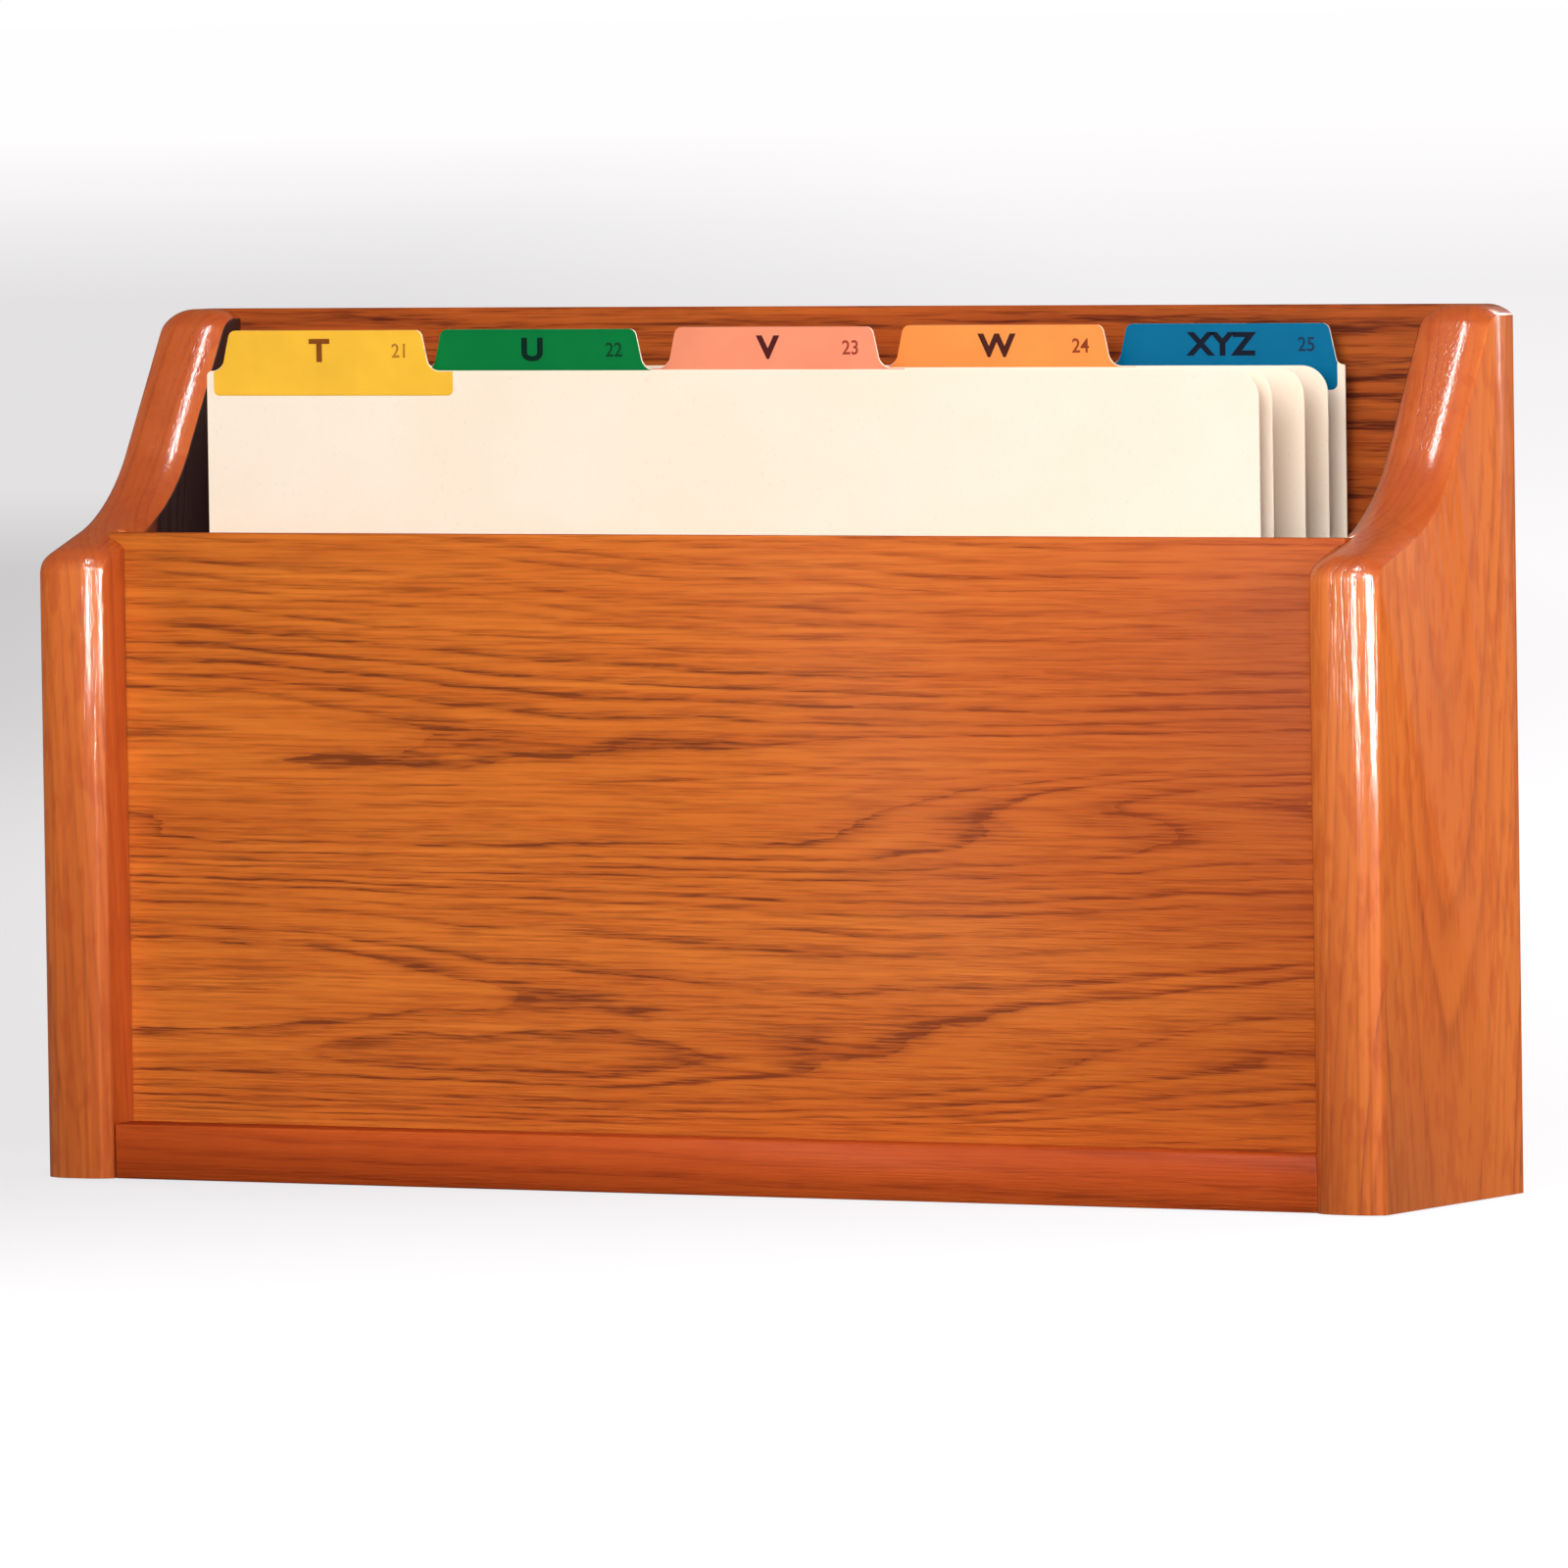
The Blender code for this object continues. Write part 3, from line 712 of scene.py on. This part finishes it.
def build_board(node, material, edge):
    low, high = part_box(node)
    piece = mesh_object(f"{node}_board", box_bmesh(low, high), material)
    if node == "bottom_board":
        panel_low, panel_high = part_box("front_panel")
        cut_low = (low[0] - CUTTER_REACH, panel_low[1] - FIT_GAP, panel_low[2] - FIT_GAP)
        cut_high = (high[0] + CUTTER_REACH, panel_high[1] + FIT_GAP, high[2] + CUTTER_REACH)
        cut_away(piece, cut_low, cut_high)
    soften_edges(piece, edge)
    return piece


def paint_node(node, material):
    """Gives a carried-over CAD node its finished material."""
    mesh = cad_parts[node].data
    mesh.materials.clear()
    mesh.materials.append(material)


def build_case():
    materials = oak_materials()
    for node in ("left_side", "right_side"):
        piece = build_side(node, materials[node])
        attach(piece, "case")
        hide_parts(node)
    boards = (("bottom_board", BOARD_EDGE, "base_oak"), ("front_panel", PLY_EDGE, "oak"))
    for node, edge, slot in boards:
        piece = build_board(node, materials[node], edge)
        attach(piece, "case")
        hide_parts(node)
    paint_node("back_panel", materials["back_panel"])


# ---- The guides ----

def tab_centre(index):
    return (index - (len(GUIDES) - 1) / 2) * TAB_PITCH + TAB_SHIFT


def foot_rooms(centre, card_width):
    """How much of the card's top is left beside a tab's left and right foot."""
    half = (card_width - TAB_FOOT_WIDTH) / 2
    return half + centre, half - centre


def foot_radii(centre, card_width):
    """The fillets at a tab's left and right foot, smaller where the card ends close by."""
    rooms = foot_rooms(centre, card_width)
    return [min(TAB_FOOT_RADIUS, (room - CORNER_FLAT) / FILLET_SHARE) for room in rooms]


def tab_corners(centre, card_width, foot_height, top_height):
    """The tab's corners from its right foot over the top to its left foot."""
    foot = TAB_FOOT_WIDTH / 2
    top = TAB_TOP_WIDTH / 2
    left_radius, right_radius = foot_radii(centre, card_width)
    return [
        ((centre + foot, foot_height), right_radius),
        ((centre + top, top_height), TAB_TOP_RADIUS),
        ((centre - top, top_height), TAB_TOP_RADIUS),
        ((centre - foot, foot_height), left_radius),
    ]


def sheet_piece(name, outline, front, rear, material):
    """A flat sheet in the XZ plane between two Y values."""
    bm = bmesh.new()
    face = bm.faces.new([bm.verts.new((p.x, front, p.y)) for p in outline])
    pushed = bmesh.ops.extrude_face_region(bm, geom=[face])["geom"]
    moved = [item for item in pushed if isinstance(item, bmesh.types.BMVert)]
    bmesh.ops.translate(bm, vec=(0, rear - front, 0), verts=moved)
    return mesh_object(name, bm, material)


def card_outline(index, low, high):
    card_width = high[0] - low[0]
    body_top = high[2] - TAB_HEIGHT
    centre = tab_centre(index)
    left_radius, right_radius = (
        min(CARD_TOP_RADIUS, CARD_TOP_SHARE * (room - radius * FILLET_SHARE))
        for room, radius in zip(foot_rooms(centre, card_width), foot_radii(centre, card_width))
    )
    corners = [((low[0], low[2]), CARD_FOOT_RADIUS), ((high[0], low[2]), CARD_FOOT_RADIUS)]
    corners.append(((high[0], body_top), right_radius))
    corners += tab_corners(centre, card_width, body_top, high[2])
    corners.append(((low[0], body_top), left_radius))
    return rounded_outline(corners)


def clipped(outline, left, right):
    """The outline with what lies beyond left or right moved in to that line."""
    points = []
    for point in outline:
        kept = Vector((min(max(point.x, left), right), point.y))
        if not points or (kept - points[-1]).length > 0.01 * MM:
            points.append(kept)
    return points


def film_outline(index, low, high, card_width):
    shoulder = high[2] - TAB_HEIGHT - FILM_EDGE_INSET
    corners = [((low[0], low[2]), FILM_CORNER_RADIUS), ((high[0], low[2]), FILM_CORNER_RADIUS)]
    corners.append(((high[0], shoulder), 0))
    corners += tab_corners(tab_centre(index), card_width, shoulder, high[2])
    corners.append(((low[0], shoulder), 0))
    return clipped(rounded_outline(corners), low[0], high[0])


def lettering(name, text, height, stretch, bold, place, face_sign, material):
    """Flat printed lettering, readable from the side that face_sign points to."""
    curve = bpy.data.curves.new(name, "FONT")
    curve.body = text
    curve.size = height / CAPITAL_SHARE
    curve.offset = bold
    curve.align_x = "CENTER"
    curve.align_y = "CENTER"
    text_object = bpy.data.objects.new(name, curve)
    bpy.context.scene.collection.objects.link(text_object)
    bpy.context.view_layer.update()
    graph = bpy.context.evaluated_depsgraph_get()
    mesh = bpy.data.meshes.new_from_object(text_object.evaluated_get(graph), depsgraph=graph)
    bpy.data.objects.remove(text_object, do_unlink=True)
    turn = Matrix.Rotation(math.pi / 2, 4, "X")
    if face_sign > 0:
        turn = Matrix.Rotation(math.pi, 4, "Z") @ turn
    mesh.transform(Matrix.Translation(place) @ turn @ Matrix.Diagonal((stretch, 1.0, 1.0, 1.0)))
    mesh.materials.clear()
    mesh.materials.append(material)
    piece = bpy.data.objects.new(name, mesh)
    bpy.context.scene.collection.objects.link(piece)
    return piece


def build_guide(index, name, number, colour, letter_colour, number_colour, card_material):
    body = f"guide_{name}"
    card_low, card_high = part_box(f"card_{name}")
    card_width = card_high[0] - card_low[0]
    outline = card_outline(index, card_low, card_high)
    card = sheet_piece(f"manila_{name}", outline, card_low[1], card_high[1], card_material)
    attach(card, body)
    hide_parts(f"card_{name}")
    film_material = laminate(name, colour)
    letter_ink = ink(f"letter_ink_{name}", letter_colour)
    number_ink = ink(f"number_ink_{name}", number_colour)
    marks = (
        ("letter", name, LETTER_HEIGHT, LETTER_STRETCH, LETTER_BOLD, LETTER_SHIFT, letter_ink),
        ("number", number, NUMBER_HEIGHT, 1.0, NUMBER_BOLD, NUMBER_SHIFT, number_ink),
    )
    for face, sign in (("front", -1), ("rear", 1)):
        node = f"film_{face}_{name}"
        low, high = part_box(node)
        outline = film_outline(index, low, high, card_width)
        film = sheet_piece(f"tab_{face}_{name}", outline, low[1], high[1], film_material)
        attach(film, body)
        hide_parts(node)
        outside = (low[1] if sign < 0 else high[1]) + sign * INK_LIFT
        for kind, text, size, stretch, bold, shift, print_ink in marks:
            place = (tab_centre(index) - sign * shift, outside, high[2] - PRINT_DROP)
            mark = lettering(f"{kind}_{face}_{name}", text, size, stretch, bold, place, sign,
                             print_ink)
            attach(mark, body)


# ---- Stage ----

def add_camera():
    azimuth = math.radians(CAMERA_AZIMUTH)
    elevation = math.radians(CAMERA_ELEVATION)
    level = math.cos(elevation)
    forward = Vector((-math.sin(azimuth) * level, math.cos(azimuth) * level, -math.sin(elevation)))
    right = Vector((math.cos(azimuth), math.sin(azimuth), 0.0))
    up = right.cross(forward)
    roll = math.radians(CAMERA_ROLL)
    cosine, sine = math.cos(roll), math.sin(roll)
    right, up = right * cosine + up * sine, up * cosine - right * sine
    turn = Matrix((right, up, -forward)).transposed().to_4x4()
    data = bpy.data.cameras.new("camera")
    data.lens = CAMERA_LENS
    data.shift_x, data.shift_y = CAMERA_SHIFT
    data.clip_end = CAMERA_REACH
    camera = bpy.data.objects.new("camera", data)
    camera.matrix_world = Matrix.Translation(Vector(CAMERA_TARGET) - forward * CAMERA_DISTANCE) @ turn
    bpy.context.scene.collection.objects.link(camera)
    bpy.context.scene.camera = camera


def add_floor():
    """The floor shows to the camera, but neither lights the wood nor shines in its lacquer."""
    bm = bmesh.new()
    bmesh.ops.create_circle(bm, cap_ends=True, segments=96, radius=FLOOR_RADIUS)
    floor = mesh_object("floor", bm, pale_floor())
    floor.location = (0, 0, CAD_BOUNDS[0][2] - FLOOR_DROP)
    floor.visible_glossy = False
    floor.visible_diffuse = False
    floor.visible_shadow = False


def add_world():
    """White to look at, but a dim warm light, so that only the soft boxes shine in the lacquer."""
    world = bpy.data.worlds.new("studio")
    bpy.context.scene.world = world
    world.use_nodes = True
    tree = world.node_tree
    path = tree.nodes.new("ShaderNodeLightPath")
    colour = tree.nodes.new("ShaderNodeMix")
    colour.data_type = "RGBA"
    colour.inputs[MIX_FIRST].default_value = (*WORLD_LIGHT, 1.0)
    colour.inputs[MIX_SECOND].default_value = (1.0, 1.0, 1.0, 1.0)
    tree.links.new(path.outputs["Is Camera Ray"], colour.inputs[MIX_FACTOR])
    tree.links.new(colour.outputs[MIX_RESULT], tree.nodes["Background"].inputs["Color"])


def add_soft_box(name, azimuth, distance, height, width, tall, power):
    angle = math.radians(azimuth)
    place = Vector((distance * math.sin(angle), -distance * math.cos(angle), height))
    data = bpy.data.lights.new(name, "AREA")
    data.shape = "RECTANGLE"
    data.size = width
    data.size_y = tall
    data.energy = power
    light = bpy.data.objects.new(name, data)
    light.location = place
    light.rotation_euler = (Vector(LIGHT_TARGET) - place).to_track_quat("-Z", "Y").to_euler()
    bpy.context.scene.collection.objects.link(light)
    return light


def add_lights():
    """Fills stay out of reflections, but for the one that the screws behind shine with. Strips stay
    out of the plain shading."""
    for name, values in FILL_BOXES.items():
        add_soft_box(name, *values).visible_glossy = name == "rear_fill"
    for name, values in STRIP_BOXES.items():
        add_soft_box(name, *values).visible_diffuse = False


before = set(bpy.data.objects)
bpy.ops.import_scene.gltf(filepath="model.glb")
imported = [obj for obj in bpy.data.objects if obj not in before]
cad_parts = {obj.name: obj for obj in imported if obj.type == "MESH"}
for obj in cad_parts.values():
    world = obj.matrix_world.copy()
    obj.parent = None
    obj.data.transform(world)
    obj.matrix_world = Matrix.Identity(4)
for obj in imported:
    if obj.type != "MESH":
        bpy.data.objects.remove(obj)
CAD_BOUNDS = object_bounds()
add_camera()
add_floor()
add_world()
add_lights()
bpy.context.scene.view_settings.view_transform = "Standard"
build_case()
card_material = manila()
for guide_index, guide in enumerate(GUIDES):
    build_guide(guide_index, *guide, card_material)
zinc_material = zinc()
beech_material = beech()
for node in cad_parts:
    if node.startswith("screw_"):
        paint_node(node, zinc_material)
    elif node.startswith("dowel_"):
        paint_node(node, beech_material)
